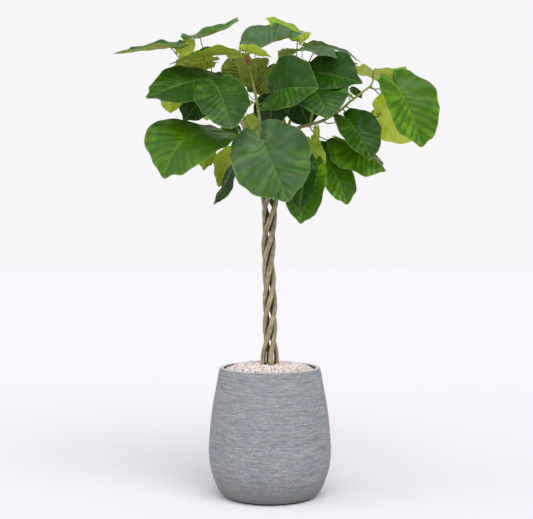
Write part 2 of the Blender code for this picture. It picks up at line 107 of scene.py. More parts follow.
def grid_faces(rows, columns, start=0):
    """Quads of a grid that closes on itself along its columns, as an array of corners."""
    r, c = np.meshgrid(np.arange(rows - 1), np.arange(columns), indexing="ij")
    after = (c + 1) % columns
    corners = [r * columns + c, r * columns + after, (r + 1) * columns + after, (r + 1) * columns + c]
    return start + np.stack(corners, axis=-1).reshape(-1, 4)


def fan_faces(centre, ring_start, columns, up):
    """Triangles from a pole to a ring, facing along the grid's way if up, else against it."""
    c = np.arange(columns)
    here, after = ring_start + c, ring_start + (c + 1) % columns
    pair = (here, after) if up else (after, here)
    return np.stack([np.full(columns, centre), *pair], axis=-1)


def make_piece(name, points, faces, materials, attributes=None, face_material=None):
    """A smooth-shaded closed mesh at the origin, from points in metres and arrays of faces.

    attributes are named numbers or vectors per point, face_material the material's place
    in the list for each face.
    """
    mesh = bpy.data.meshes.new(name)
    mesh.from_pydata(points.tolist(), [], [face for part in faces for face in part.tolist()])
    for key, values in (attributes or {}).items():
        values = np.asarray(values, np.float32)
        kind, field = ("FLOAT", "value") if values.ndim == 1 else ("FLOAT_VECTOR", "vector")
        mesh.attributes.new(key, kind, "POINT").data.foreach_set(field, values.ravel())
    for material in materials:
        mesh.materials.append(material)
    if face_material is not None:
        mesh.polygons.foreach_set("material_index", np.asarray(face_material, np.int32))
    mesh.shade_smooth()
    piece = bpy.data.objects.new(name, mesh)
    bpy.context.scene.collection.objects.link(piece)
    return piece


def stand_for(piece, node):
    """The piece rides on the plant's one body, in a node's place, and the node is hidden."""
    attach(piece, "root")
    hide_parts(node)


def pot_profile():
    """Radius, height and inwardness from the foot's centre, over the lip, to the floor's centre."""
    outside = curve_through(POT_OUTSIDE, 0.003)
    turn = np.linspace(0, math.pi, 17)[1:-1]
    lip_radius = POT_WALL / 2
    lip_centre = POT_OUTSIDE[-1, 0] - lip_radius
    squash = (POT_HEIGHT - POT_OUTSIDE[-1, 1]) / lip_radius
    lip = np.stack([lip_centre + lip_radius * np.sign(np.cos(turn)) * np.abs(np.cos(turn)) ** 0.6,
                    POT_OUTSIDE[-1, 1] + lip_radius * squash * np.sin(turn) ** 0.6], axis=1)
    inside = outside[outside[:, 1] > 0.04][::-4] - (POT_WALL, 0)
    floor = np.array([(0.172, POT_FLOOR), (0.09, POT_FLOOR), (0.0, POT_FLOOR)])
    inward = [np.zeros(len(POT_FOOT) + len(outside)), np.linspace(0, 1, len(lip)),
              np.ones(len(inside) + len(floor))]
    return np.vstack([POT_FOOT, outside, lip, inside, floor]), np.concatenate(inward)


def turned_points(profile, around):
    """The profile carried round the upright axis: (r cos a, r sin a, height)."""
    a = np.arange(around) * 2 * math.pi / around
    r, z = profile[:, :1], profile[:, 1:]
    return np.stack([r * np.cos(a), r * np.sin(a), np.broadcast_to(z, (len(r), around))], axis=-1)


def grey_wash():
    """Fibre clay under a dragged grey wash: matt, blue-grey, with level streaks.

    Streaks are 3 to 7 mm high and 30 to 70 mm long. The flecks are 2 to 4 mm, drawn a
    little coarser than the real ones so that they show.
    """
    material, tree, shader = new_material("brushed_fibre_clay", Roughness=0.68, IOR=1.46)
    place = add_node(tree, "TexCoord", out="Object")
    grains = {}
    for kind, scale, detail in (("streak", (15, 15, 150), 6), ("fine", (60, 60, 480), 4),
                                ("patch", (11, 11, 26), 4), ("fleck", (170, 170, 480), 3),
                                ("fleck_zone", (13, 13, 22), 2)):
        stretched = add_node(tree, "Mapping", {"Vector": place, "Scale": scale})
        grains[kind] = add_node(tree, "TexNoise",
                                {"Vector": stretched, "Scale": 1.0, "Detail": detail, "Roughness": 0.6})
    colour = linear_rgb("#80868c")
    for kind, low, high, most, shade in (
            ("patch", 0.42, 0.60, 0.6, "#878788"), ("streak", 0.52, 0.38, 0.7, "#646b74"),
            ("streak", 0.54, 0.74, 0.6, "#a3a5a4"), ("fine", 0.50, 0.70, 0.55, "#b5b3ad"),
            ("fine", 0.47, 0.32, 0.55, "#5f666c")):
        amount = add_node(tree, "MapRange", {"Value": grains[kind], "From Min": low,
                                             "From Max": high, "To Max": most})
        colour = add_node(tree, "Mix", {0: amount, 6: colour, 7: linear_rgb(shade)}, data_type="RGBA")
    zone = add_node(tree, "MapRange", {"Value": grains["fleck_zone"], "From Min": 0.46,
                                       "From Max": 0.64, "To Min": 0.12, "To Max": 0.8})
    fleck = add_node(tree, "MapRange", {"Value": grains["fleck"], "From Min": 0.58, "From Max": 0.67})
    amount = add_node(tree, "Math", {0: zone, 1: fleck}, operation="MULTIPLY")
    colour = add_node(tree, "Mix", {0: amount, 6: colour, 7: linear_rgb("#dad4c8")}, data_type="RGBA")
    height = add_node(tree, "SeparateXYZ", {"Vector": place}, out="Z")
    # painted shade: the wash goes darker towards the bottom over the lowest 115 mm, for the shade near the
    # floor
    lower_shade = add_node(tree, "MapRange", {"Value": height, "From Min": 0.115, "From Max": 0.0, "To Max": 0.8})
    colour = add_node(tree, "Mix", {0: lower_shade, 6: colour, 7: linear_rgb("#5d5f5b")}, data_type="RGBA")
    # painted shadow: the lowest 9 mm go near black, for the dark contact line where the pot meets the floor
    contact_shadow = add_node(tree, "MapRange", {"Value": height, "From Min": 0.009, "From Max": 0.003})
    colour = add_node(tree, "Mix", {0: contact_shadow, 6: colour, 7: linear_rgb("#34322f")}, data_type="RGBA")
    inward = add_node(tree, "Attribute", out="Fac", attribute_name="inward")
    # painted highlight: a pale band over the lip; painted shade: the inside wall and floor are darker, for
    # the shade under the rim
    for low, high, shade in ((0.05, 0.35, "#c9cbca"), (0.90, 1.0, "#5b605c")):
        amount = add_node(tree, "MapRange", {"Value": inward, "From Min": low, "From Max": high})
        colour = add_node(tree, "Mix", {0: amount, 6: colour, 7: linear_rgb(shade)}, data_type="RGBA")
    tree.links.new(colour, shader.inputs["Base Color"])
    relief = add_node(tree, "Math", {0: grains["streak"], 1: grains["fine"]}, operation="ADD")
    bump = add_node(tree, "Bump", {"Strength": 0.35, "Distance": 0.0012, "Height": relief})
    tree.links.new(bump, shader.inputs["Normal"])
    return material


def make_planter():
    profile, inward = pot_profile()
    body = turned_points(profile[1:-1], POT_AROUND)
    # brush and throwing lines: shallow level ridges, deepest 0.25 mm, that drift round the pot
    a = np.arange(POT_AROUND) * 2 * math.pi / POT_AROUND
    z = profile[1:-1, 1:]
    ridges = (np.sin(z * 900 + 1.5 * np.sin(a + 0.7)) * 0.5 + np.sin(z * 517 + 2.1 * np.sin(2 * a)) * 0.5)
    outer = (inward[1:-1, None] < 0.01) & (z > 0.02)
    body[..., :2] *= 1 + (0.00025 * ridges * outer / 0.2)[..., None]
    rows = len(body)
    points = np.vstack([[(0, 0, profile[0, 1])], body.reshape(-1, 3), [(0, 0, profile[-1, 1])]])
    last = len(points) - 1
    faces = [fan_faces(0, 1, POT_AROUND, False), grid_faces(rows, POT_AROUND, 1),
             fan_faces(last, 1 + (rows - 1) * POT_AROUND, POT_AROUND, True)]
    spread = np.concatenate([[0], np.repeat(inward[1:-1], POT_AROUND), [1]])
    return make_piece("planter_body", points, faces, [grey_wash()], {"inward": spread})


stand_for(make_planter(), "planter")


# Soil. Damp bark and peat potting mix, filled to a hand's width under the lip; only dark
# crumbs of it show between the pebbles. The solid itself is kept, with a crumbly surface.

def potting_mix():
    """Bark and peat: near black, no gloss, crumbs of 2 to 6 mm."""
    material, tree, shader = new_material("bark_peat_mix", Roughness=0.95)
    place = add_node(tree, "TexCoord", out="Object")
    crumbs = add_node(tree, "TexVoronoi", {"Vector": place, "Scale": 260.0})
    mottle = add_node(tree, "MapRange", {"Value": crumbs, "From Max": 0.7})
    colour = add_node(tree, "Mix", {0: mottle, 6: linear_rgb("#33271d"), 7: linear_rgb("#6b5544")},
                      data_type="RGBA")
    tree.links.new(colour, shader.inputs["Base Color"])
    bump = add_node(tree, "Bump", {"Strength": 0.8, "Distance": 0.002, "Height": crumbs})
    tree.links.new(bump, shader.inputs["Normal"])
    return material


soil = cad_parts["soil"]
soil.data.materials.clear()
soil.data.materials.append(potting_mix())


# Pebbles. Several hundred tumbled stones of 8 to 17 mm, pinkish white limestone with a few
# grey and tan ones, poured on the soil two deep and mounded a little towards the trunk.

MOUTH_RADIUS = 0.1640
STRAND_ANGLES = np.radians([10, 100, 190, 280])
STRAND_FEET = 0.023 * np.stack([np.sin(STRAND_ANGLES), -np.cos(STRAND_ANGLES)], axis=1)
STRAND_CLEAR = 0.0095
PEBBLE_EDGE = 0.4380
PEBBLE_CENTRE = 0.4625
STONE_SPACING = 0.0115
STONE_AROUND = 8
STONE_RINGS = 4


def limestone():
    """Tumbled limestone: satin, slightly waxy, each stone of its own shade."""
    material, tree, shader = new_material("tumbled_limestone", Roughness=0.52, IOR=1.5)
    shade = add_node(tree, "Attribute", out="Fac", attribute_name="shade")
    place = add_node(tree, "TexCoord", out="Object")
    cloud = add_node(tree, "TexNoise",
                     {"Vector": place, "Scale": 230.0, "Detail": 4.0, "Roughness": 0.6})
    colour = linear_rgb("#e8dfdd")
    for source, low, high, most, tint in (
            (shade, 0.35, 0.60, 1.0, "#ddccc9"), (shade, 0.62, 0.80, 1.0, "#cdbab7"),
            (shade, 0.84, 0.93, 1.0, "#c6b9b3"), (shade, 0.95, 1.0, 1.0, "#a99b90"),
            (cloud, 0.52, 0.72, 0.35, "#bda79f")):
        amount = add_node(tree, "MapRange", {"Value": source, "From Min": low,
                                             "From Max": high, "To Max": most})
        colour = add_node(tree, "Mix", {0: amount, 6: colour, 7: linear_rgb(tint)}, data_type="RGBA")
    tree.links.new(colour, shader.inputs["Base Color"])
    bump = add_node(tree, "Bump", {"Strength": 0.25, "Distance": 0.0008, "Height": cloud})
    tree.links.new(bump, shader.inputs["Normal"])
    return material


def mound(spots):
    """Height of the pebbles' top: level about the trunk, falling at the wall, fuller behind.

    With r the share of the mouth's radius, it is edge + (centre - edge)(1 - r^4) + 4 mm (1 + y).
    """
    share = np.linalg.norm(spots, axis=1) / MOUTH_RADIUS
    level = PEBBLE_EDGE + (PEBBLE_CENTRE - PEBBLE_EDGE) * (1 - share**4)
    return level + 0.004 * (1 + spots[:, 1] / MOUTH_RADIUS)


def stone_places(spacing, seed, drop):
    """Centres and half widths of stones on a jittered honeycomb inside the mouth."""
    rng = np.random.default_rng(seed)
    count = int(2 * MOUTH_RADIUS / spacing) + 3
    i, j = np.meshgrid(np.arange(count), np.arange(int(count * 1.2)), indexing="ij")
    x = (i + 0.5 * (j % 2)) * spacing - MOUTH_RADIUS
    y = j * spacing * 0.866 - MOUTH_RADIUS
    spots = np.stack([x.ravel(), y.ravel()], axis=1)
    spots += rng.uniform(-0.28, 0.28, spots.shape) * spacing
    half = spacing * rng.uniform(0.48, 0.74, len(spots))
    far = np.linalg.norm(spots, axis=1)
    clear = far + half < MOUTH_RADIUS
    to_strand = np.linalg.norm(spots[:, None] - STRAND_FEET, axis=2).min(axis=1)
    clear &= to_strand > STRAND_CLEAR + 0.6 * half
    spots, half = spots[clear], half[clear]
    height = mound(spots) - half * 0.62 - drop + rng.uniform(-0.0018, 0.0012, len(half))
    return np.column_stack([spots, height]), half, rng


def stones(name, spacing, seed, drop, material):
    """One mesh of many pebbles.

    Each is a small latitude and longitude grid: an ellipsoid with half widths h, 0.8h and
    0.6h, swollen by 8 % of sin(2 longitude) and 6 % of cos(3 latitude), turned and tilted.
    """
    centres, half, rng = stone_places(spacing, seed, drop)
    n = len(half)
    lat = np.linspace(-math.pi / 2, math.pi / 2, STONE_RINGS + 2)[1:-1]
    lon = np.arange(STONE_AROUND) * 2 * math.pi / STONE_AROUND
    la, lo = (g.ravel() for g in np.meshgrid(lat, lon, indexing="ij"))
    ball = np.stack([np.cos(la) * np.cos(lo), np.cos(la) * np.sin(lo), np.sin(la)], axis=1)
    ball = np.vstack([(0, 0, -1), ball, (0, 0, 1)])
    la = np.concatenate([[-math.pi / 2], la, [math.pi / 2]])
    lo = np.concatenate([[0], lo, [0]])
    phase = rng.uniform(0, 2 * math.pi, (3, n, 1))
    swell = (1 + 0.08 * np.sin(2 * lo + phase[0]) * np.cos(la) + 0.06 * np.cos(3 * la + phase[1])
             + 0.05 * np.sin(3 * lo + phase[2]) * np.cos(la))
    axes = rng.uniform((0.85, 0.68, 0.50), (1.15, 0.95, 0.74), (n, 3))
    local = ball[None] * swell[..., None] * (half[:, None] * axes)[:, None, :]
    spin = rng.uniform(0, 2 * math.pi, n)
    tilt = rng.normal(0, 0.30, n)
    cs, sn, ct, st = np.cos(spin), np.sin(spin), np.cos(tilt), np.sin(tilt)
    zero = np.zeros(n)
    turn = np.array([[cs, -sn * ct, sn * st], [sn, cs * ct, -cs * st], [zero, st, ct]])
    points = np.einsum("abn,nvb->nva", turn, local) + centres[:, None, :]
    each = len(ball)
    one = [fan_faces(0, 1, STONE_AROUND, False), grid_faces(STONE_RINGS, STONE_AROUND, 1),
           fan_faces(each - 1, 1 + (STONE_RINGS - 1) * STONE_AROUND, STONE_AROUND, True)]
    shift = (np.arange(n) * each)[:, None, None]
    faces = [(part[None] + shift).reshape(-1, part.shape[1]) for part in one]
    shade = np.repeat(rng.uniform(0, 1, n), each)
    return make_piece(name, points.reshape(-1, 3), faces, [material], {"shade": shade})


stone_material = limestone()
stand_for(stones("pebbles_top", STONE_SPACING, 7, 0.0, stone_material), "pebble_layer")
stand_for(stones("pebbles_below", STONE_SPACING * 1.1, 19, 0.0065, stone_material), "pebble_layer")


# Trunk. Four young fig stems wound together like a rope and then grown woody, each going
# on above as a branch of the crown. Khaki bark with leaf scars, knots and shallow cracks.

MM = 0.001
BRAID_RADIUS = 15.8
BRAID_START = 507.0
BRAID_TURN = 0.9449
BRAID_TOP = 1060.0
STRAND_RADIUS = 8.75
STRAND_FOOT = 365.0
BARK_SIDES = 20
BARK_STEP = 2.5
SCAR_GAP = 27.0

# start angle of the strand in degrees, the branch above the braid in mm, radius at its tip
STEMS = {
    "stem_rear": (10, [
        (10, 50, 1130), (30, 80, 1215), (60, 105, 1300), (90, 120, 1390), (110, 120, 1475),
        (125, 120, 1545)], 3.0),
    "stem_left": (100, [
        (-30, -5, 1095), (-40, -15, 1160), (-65, -25, 1230), (-90, -30, 1300), (-125, -30, 1365),
        (-160, -25, 1415), (-200, -20, 1465), (-230, -20, 1515), (-240, -20, 1540)], 3.2),
    "stem_middle": (190, [
        (-5, -20, 1115), (-15, -10, 1190), (-30, 5, 1280), (-40, 10, 1360), (-55, 5, 1440),
        (-70, 0, 1505), (-75, -5, 1525)], 3.8),
    "stem_right": (280, [
        (35, -10, 1080), (45, -10, 1145), (50, -10, 1210), (65, -5, 1265), (95, 0, 1300),
        (140, 0, 1315), (190, -10, 1330), (250, -20, 1365), (285, -25, 1395), (325, -30, 1425),
        (355, -30, 1450), (365, -35, 1470)], 3.2),
}

# parent stem, points in mm, radius at its foot and at its tip
TWIGS = {
    "twig_left": ("stem_left", [
        (-50, -20, 1180), (-80, -45, 1210), (-110, -65, 1225), (-130, -80, 1230)], 5.0, 3.2),
    "twig_right": ("stem_right", [(140, 0, 1315), (155, 5, 1370), (165, 0, 1415)], 4.5, 3.0),
    "twig_rear_left": ("stem_rear", [
        (15, 60, 1160), (-30, 140, 1240), (-80, 210, 1325), (-120, 250, 1405)], 5.5, 3.2),
    "twig_rear_right": ("stem_rear", [(50, 95, 1270), (110, 180, 1325), (165, 240, 1400)], 5.0, 3.0),
}


def smooth_step(value, low, high):
    """From 0 at low to 1 at high along 3t^2 - 2t^3."""
    t = np.clip((value - low) / (high - low), 0, 1)
    return t * t * (3 - 2 * t)


def unit(v):
    return v / np.linalg.norm(v, axis=-1, keepdims=True)


def braid_points(start_angle, heights):
    """Centre line of a strand: (r sin a + sway, -r cos a, height), where a grows with height.

    The radius and the angle wander a little on the way up, and the whole trunk sways.
    """
    wander = smooth_step(heights, 500, 620)
    a = np.radians(start_angle + BRAID_TURN * np.maximum(0, heights - BRAID_START)
                   + 6 * wander * np.sin(heights / 71 + 1.7 * start_angle))
    r = (BRAID_RADIUS + 8 * (1 - smooth_step(heights, 480, 575))
         + 10 * smooth_step(heights, 960, BRAID_TOP)
         - 1.6 * wander * np.sin(heights / 47 + 2.3 * start_angle))
    sway = -6 * np.exp(-((heights - 855) / 90) ** 2)
    return np.stack([r * np.sin(a) + sway, -r * np.cos(a), heights], axis=1)


def stem_line(start_angle, branch, tip_radius):
    """Centre line and radii of a strand with its branch, even in the braid, then thinner."""
    heights = np.linspace(STRAND_FOOT, BRAID_TOP, 22)
    braid = braid_points(start_angle, heights)
    upper = curve_through(np.vstack([braid[-2:], branch]), BARK_STEP)
    lower = braid_points(start_angle, np.arange(STRAND_FOOT, heights[-2], BARK_STEP))
    path = np.vstack([lower, upper])
    length = np.concatenate([[0], np.cumsum(np.linalg.norm(np.diff(path, axis=0), axis=1))])
    start = np.interp(BRAID_TOP, path[:, 2], length)
    share = np.clip((length - start) / (length[-1] - start), 0, 1)
    return path, STRAND_RADIUS + (tip_radius - STRAND_RADIUS) * share


def tube(path, radii, sides, swell=None):
    """Points and faces of a closed rod, its sections square to the path.

    Each section stands on two directions square to the path: one lies in the plane that
    the whole path bends in, the other across that plane. swell is a factor on the radius
    per section and side.
    """
    tangent = unit(np.gradient(path, axis=0))
    across = np.linalg.eigh(tangent.T @ tangent)[1][:, 0]
    side = unit(np.cross(tangent, across))
    other = np.cross(tangent, side)
    a = np.arange(sides) * 2 * math.pi / sides
    radius = radii[:, None] * (1 if swell is None else swell) * np.ones(sides)
    ring = (path[:, None] + (radius * np.cos(a))[..., None] * side[:, None]
            + (radius * np.sin(a))[..., None] * other[:, None])
    points = np.vstack([path[:1], ring.reshape(-1, 3), path[-1:]])
    faces = [fan_faces(0, 1, sides, False), grid_faces(len(path), sides, 1),
             fan_faces(len(points) - 1, 1 + (len(path) - 1) * sides, sides, True)]
    return points, faces, a


def bark_swell(length, angles, rng):
    """Radius factor of bark, per section and side.

    Rings of leaf scars, 27 mm apart or so, are narrow raised bands of 5 %. Knots are
    Gaussian lumps of up to 20 % on one side. Shallow ribs run along it, 2.5 % deep.
    """
    swell = np.ones((len(length), len(angles)))
    scars = np.cumsum(rng.uniform(0.7, 1.3, int(length[-1] / SCAR_GAP) + 1) * SCAR_GAP)
    swell += 0.06 * np.exp(-((length[:, None] - scars) / 1.6) ** 2).sum(axis=1)[:, None]
    knots = rng.uniform(0, length[-1], int(length[-1] / 45) + 1)
    sides = rng.uniform(0, 2 * math.pi, len(knots))
    sizes = rng.uniform(0.05, 0.20, len(knots))
    near = np.exp(-((length[:, None] - knots) / 6.5) ** 2) * sizes
    facing = np.exp(2.2 * (np.cos(angles[:, None] - sides) - 1))
    swell += near @ facing.T
    drift = rng.uniform(0, 2 * math.pi, 3)
    swell += 0.025 * np.sin(5 * angles + drift[0] + 1.4 * np.sin(length[:, None] / 37 + drift[1]))
    swell += 0.02 * np.sin(2 * angles + length[:, None] / 21 + drift[2])
    return swell


def fig_bark():
    """Fissured fig bark: matt khaki, with painted shade in its cracks and between its strands, greener on
    the young branches.

    Fibres are 1 to 2 mm wide and 20 to 40 mm long, lenticels 2 mm.
    """
    material, tree, shader = new_material("fig_bark", Roughness=0.82)
    fibre_place = add_node(tree, "Attribute", out="Vector", attribute_name="fibre")
    young = add_node(tree, "Attribute", out="Fac", attribute_name="young")
    crevice_shade = add_node(tree, "Attribute", out="Fac", attribute_name="crevice_shade")
    fibre = add_node(tree, "TexNoise",
                     {"Vector": fibre_place, "Scale": 0.55, "Detail": 5.0, "Roughness": 0.65})
    place = add_node(tree, "TexCoord", out="Object")
    patch = add_node(tree, "TexNoise", {"Vector": place, "Scale": 45.0, "Detail": 3.0})
    speck = add_node(tree, "TexNoise", {"Vector": place, "Scale": 420.0, "Detail": 2.0})
    colour = linear_rgb("#9b8d6d")
    # painted shade: the crevices between bark ribs and between strands are coloured dark brown
    for source, low, high, most, tint in (
            (patch, 0.42, 0.62, 0.9, "#b5a887"), (fibre, 0.50, 0.38, 0.85, "#57482f"),
            (fibre, 0.58, 0.72, 0.7, "#cdc3a6"), (crevice_shade, 0.0, 1.0, 0.85, "#42341f"),
            (young, 0.20, 0.5, 0.9, "#8fa233"), (young, 0.6, 1.0, 0.8, "#a4b93c"),
            (speck, 0.64, 0.72, 0.5, "#cbc3ad")):
        amount = add_node(tree, "MapRange", {"Value": source, "From Min": low,
                                             "From Max": high, "To Max": most})
        colour = add_node(tree, "Mix", {0: amount, 6: colour, 7: linear_rgb(tint)}, data_type="RGBA")
    tree.links.new(colour, shader.inputs["Base Color"])
    bump = add_node(tree, "Bump", {"Strength": 0.7, "Distance": 0.0010, "Height": fibre})
    tree.links.new(bump, shader.inputs["Normal"])
    return material


def bark_tube(path, radii, seed):
    """A rod of bark with its attributes: fibre coordinates in mm, youth, and painted crevice shade.

    The painted shade lies between two ribs of bark, or where a strand faces the trunk's axis, in the crease
    between strands.
    """
    rng = np.random.default_rng(seed)
    length = np.concatenate([[0], np.cumsum(np.linalg.norm(np.diff(path, axis=0), axis=1))])
    angles = np.arange(BARK_SIDES) * 2 * math.pi / BARK_SIDES
    swell = bark_swell(length, angles, rng)
    points, faces, _ = tube(path, radii, BARK_SIDES, swell)
    flat = np.stack([np.cos(angles) * 8, np.sin(angles) * 8, 0 * angles], axis=1)[None]
    fibre = flat + (length[:, None, None] * 0.09 + seed * 50) * np.array([0, 0, 1])
    fibre = fibre.reshape(-1, 3)
    young = np.repeat(np.clip((6.5 - radii) / 3.5, 0, 1), BARK_SIDES)
    # painted shade: how far the bark's colour is darkened in the low parts between its ribs and in the
    # creases between strands
    crevice_shade = np.clip((0.995 - swell) * 18, 0, 1).ravel()
    body = points[1:-1].reshape(len(path), BARK_SIDES, 3)
    inward = np.linalg.norm(path[:, None, :2], axis=2) - np.linalg.norm(body[..., :2], axis=2)
    creased = smooth_step(inward, -5.5, 4.0) * (1 - smooth_step(path[:, 2:], 1040, 1140))
    crevice_shade = np.maximum(crevice_shade * 0.8, creased.ravel())
    ends = [np.concatenate([v[:1], v, v[-1:]]) for v in (fibre, young, crevice_shade)]
    return points, faces, ends


bark = fig_bark()
wood_lines = {}
for order, (stem_name, (start_angle, branch, tip_radius)) in enumerate(STEMS.items()):
    wood_lines[stem_name] = stem_line(start_angle, np.array(branch, float), tip_radius)
    rods = [bark_tube(*wood_lines[stem_name], order)]
    for twig_name, (parent, twig_points, thick, thin) in TWIGS.items():
        if parent == stem_name:
            twig_path = curve_through(twig_points, BARK_STEP)
            wood_lines[twig_name] = (twig_path, np.linspace(thick, thin, len(twig_path)))
            rods.append(bark_tube(*wood_lines[twig_name], order + 10 + len(rods)))
    starts = np.cumsum([0] + [len(rod_points) for rod_points, _, _ in rods])
    stem_faces = [part + start for start, (_, parts, _) in zip(starts, rods) for part in parts]
    fibre, young, crevice_shade = (np.concatenate([ends[k] for _, _, ends in rods]) for k in range(3))
    stem_points = np.vstack([rod_points for rod_points, _, _ in rods]) * MM
    stem = make_piece(stem_name + "_bark", stem_points, stem_faces, [bark],
                      {"fibre": fibre, "young": young, "crevice_shade": crevice_shade})
    stand_for(stem, stem_name)


# Bud. The next leaf, rolled up inside a papery red-brown sheath on the middle stem's tip.

# distance along the tip's direction and radius, in mm
BUD = [(0.3, 3.8), (8, 6.2), (20, 7.4), (34, 5.4), (46, 2.4), (54, 0.6)]


def papery_sheath():
    """Dry bud scale: red-brown, satin, with fine lengthwise lines."""
    material, tree, shader = new_material("papery_sheath", Roughness=0.5)
    place = add_node(tree, "TexCoord", out="Object")
    stretched = add_node(tree, "Mapping", {"Vector": place, "Scale": (600, 600, 60)})
    lines = add_node(tree, "TexNoise", {"Vector": stretched, "Scale": 1.0, "Detail": 3.0})
    amount = add_node(tree, "MapRange", {"Value": lines, "From Min": 0.35, "From Max": 0.65})
    colour = add_node(tree, "Mix", {0: amount, 6: linear_rgb("#7d3a1f"), 7: linear_rgb("#b0603a")},
                      data_type="RGBA")
    tree.links.new(colour, shader.inputs["Base Color"])
    bump = add_node(tree, "Bump", {"Strength": 0.3, "Distance": 0.0004, "Height": lines})
    tree.links.new(bump, shader.inputs["Normal"])
    return material


middle_path, _ = wood_lines["stem_middle"]
bud_along, bud_radius = curve_through(BUD, 1.0).T
bud_line = middle_path[-1] + bud_along[:, None] * unit(middle_path[-1] - middle_path[-9])
bud_points, bud_faces, _ = tube(bud_line, bud_radius, 16)
stand_for(make_piece("leaf_bud", bud_points * MM, bud_faces, [papery_sheath()]), "bud_sheath")


# Leaves. Fifty-two soft heart-shaped blades up to 230 mm long, each on a slim round stalk
# from its own place on the wood. Veins spread from the stalk's end and off the midrib,
# and the blade is puffed up between them and waved at its edge.

SPOKES = 128
RINGS = 28
BLADE_THICKNESS = 0.8
STALK_RADIUS = 2.2
SMALL_LEAF = 125.0
SIDE_VEINS = 9.0

